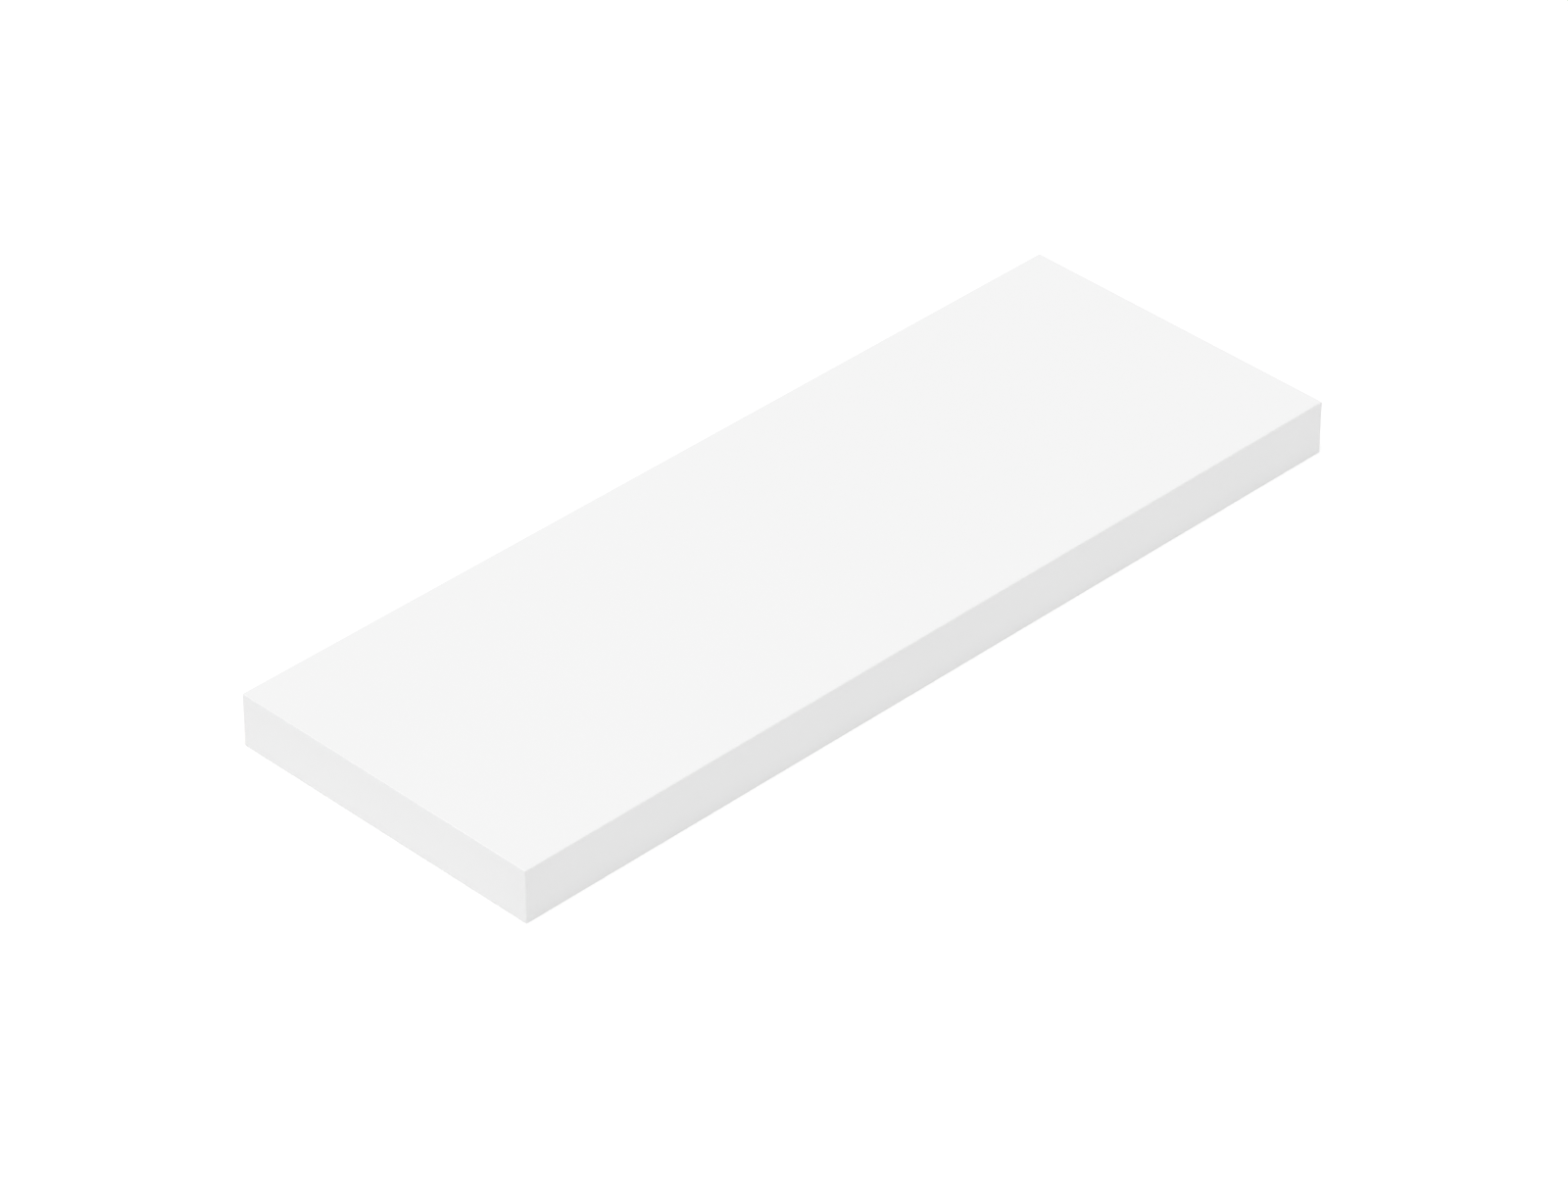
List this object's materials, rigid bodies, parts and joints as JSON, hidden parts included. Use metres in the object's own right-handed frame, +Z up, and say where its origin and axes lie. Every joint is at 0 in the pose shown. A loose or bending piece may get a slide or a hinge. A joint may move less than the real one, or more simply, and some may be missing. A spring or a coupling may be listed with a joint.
{
  "type": "floating wall shelf",
  "caption": "Thick white laminated wall shelf with square edges, a hollow honeycomb core, and a hidden steel bracket whose rods slide into the board and are locked from below.",
  "frame": {"origin": "on the wall plane, at the middle of the bracket plate's back face, which is also the middle of the board's length and thickness", "axes": "+X along the shelf's length, +Y into the wall, +Z up; the board's front edge faces -Y"},
  "size_m": [0.9, 0.32, 0.05],
  "materials": {
    "white_laminate": "satin melamine foil",
    "white_edge_band": "satin ABS edge band",
    "fibreboard": "raw high-density fibreboard",
    "particleboard": "raw particleboard",
    "pine": "raw planed pine",
    "honeycomb_paper": "brown kraft paper",
    "bracket_steel": "satin black powder coat",
    "insert_brass": "turned brass",
    "screw_steel": "black oxide"
  },
  "bodies": {
    "wall_bracket": {"wall_plate": "bracket_steel", "rod_far_left": "bracket_steel", "rod_near_left": "bracket_steel", "rod_near_right": "bracket_steel", "rod_far_right": "bracket_steel", "rod_welds": "bracket_steel"},
    "shelf": {"top_laminate": "white_laminate", "top_skin": "fibreboard", "bottom_skin": "fibreboard", "bottom_laminate": "white_laminate", "front_rail": "particleboard", "left_rail": "particleboard", "right_rail": "particleboard", "rear_rail_far_left": "particleboard", "rear_rail_near_left": "particleboard", "rear_rail_centre": "particleboard", "rear_rail_near_right": "particleboard", "rear_rail_far_right": "particleboard", "rib_far_left": "pine", "rib_near_left": "pine", "rib_near_right": "pine", "rib_far_right": "pine", "honeycomb_far_left": "honeycomb_paper", "honeycomb_near_left": "honeycomb_paper", "honeycomb_centre": "honeycomb_paper", "honeycomb_near_right": "honeycomb_paper", "honeycomb_far_right": "honeycomb_paper", "front_edge_band": "white_edge_band", "left_edge_band": "white_edge_band", "right_edge_band": "white_edge_band", "insert_left": "insert_brass", "insert_right": "insert_brass"},
    "lock_screw_left": {"lock_screw_left": "screw_steel"},
    "lock_screw_right": {"lock_screw_right": "screw_steel"}
  },
  "joints": [
    {"name": "shelf_slide", "type": "slide", "parent": "wall_bracket", "child": "shelf", "axis": [0, -1, 0], "range_m": [0, 0.25]},
    {"name": "lock_screw_left_travel", "type": "slide", "parent": "shelf", "child": "lock_screw_left", "axis": [0, 0, -1], "range_m": [0, 0.006]},
    {"name": "lock_screw_right_travel", "type": "slide", "parent": "shelf", "child": "lock_screw_right", "axis": [0, 0, -1], "range_m": [0, 0.006]}
  ]
}
